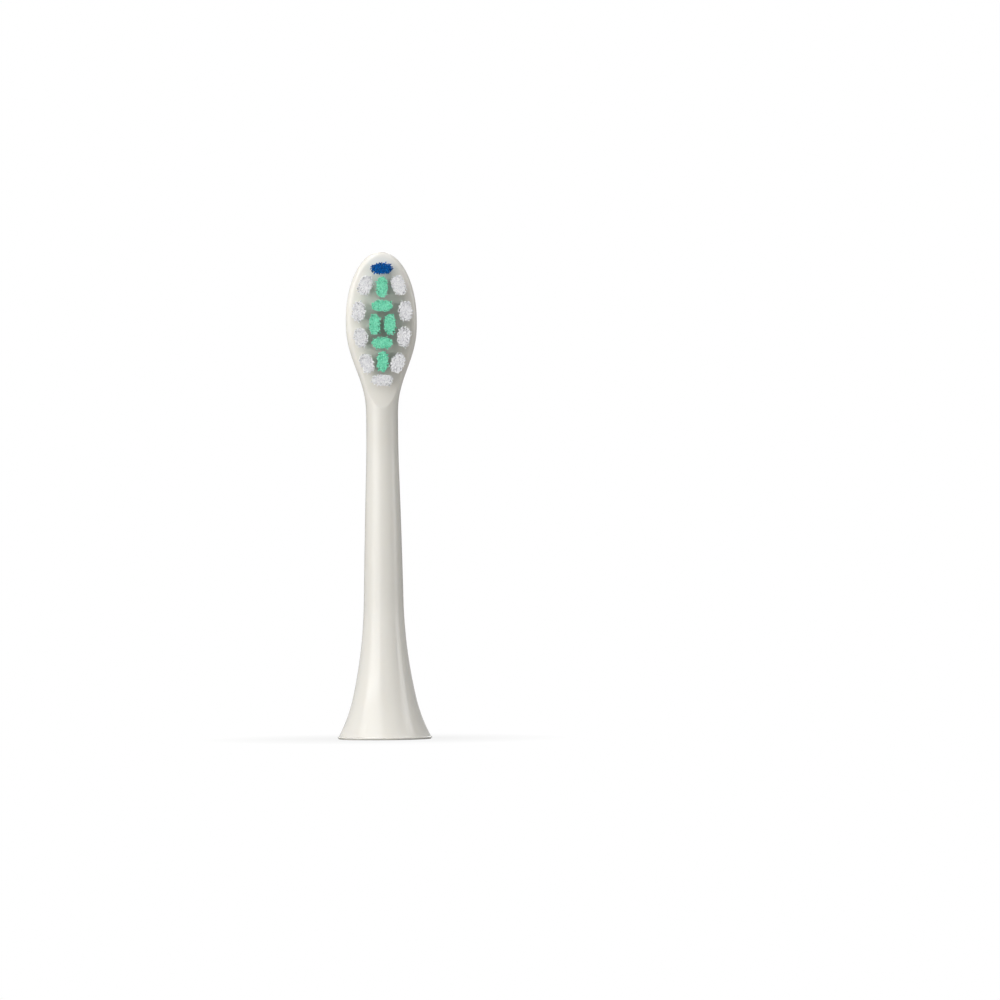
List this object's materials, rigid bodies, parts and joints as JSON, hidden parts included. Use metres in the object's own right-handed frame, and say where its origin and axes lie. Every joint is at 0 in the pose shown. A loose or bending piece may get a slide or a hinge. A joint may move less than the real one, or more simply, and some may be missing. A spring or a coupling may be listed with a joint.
{
  "type": "electric toothbrush head",
  "caption": "Replacement toothbrush head: oval tufted plate on a slim neck and tapered stem that flares to a hollow skirt, with a keyed drive socket inside.",
  "frame": {"origin": "stem axis where it meets the plane of the skirt's rim", "axes": "+Z along the stem to the head's tip, bristles point to -Y, +X to the right seen from the bristles"},
  "size_m": [0.0154, 0.0188, 0.079],
  "materials": {
    "body_ivory": "satin moulded, ivory",
    "bristle_white": "nylon filament, white",
    "bristle_green": "nylon filament, mint green",
    "bristle_blue": "nylon filament, blue",
    "socket_plastic": "natural acetal, as moulded",
    "spring_steel": "rolled stainless strip",
    "anchor_brass": "rolled brass strip"
  },
  "bodies": {
    "root": {"head_body": "body_ivory", "drive_socket": "socket_plastic", "grip_spring": "spring_steel", "tuft_anchors": "anchor_brass", "tuft_tip": "bristle_blue", "tuft_heel": "bristle_white", "tuft_upper_post": "bristle_green", "tuft_upper_bar": "bristle_green", "tuft_twin_left": "bristle_green", "tuft_twin_right": "bristle_green", "tuft_lower_bar": "bristle_green", "tuft_lower_post": "bristle_green", "tuft_left_1": "bristle_white", "tuft_left_2": "bristle_white", "tuft_left_3": "bristle_white", "tuft_left_4": "bristle_white", "tuft_right_1": "bristle_white", "tuft_right_2": "bristle_white", "tuft_right_3": "bristle_white", "tuft_right_4": "bristle_white"}
  },
  "joints": []
}
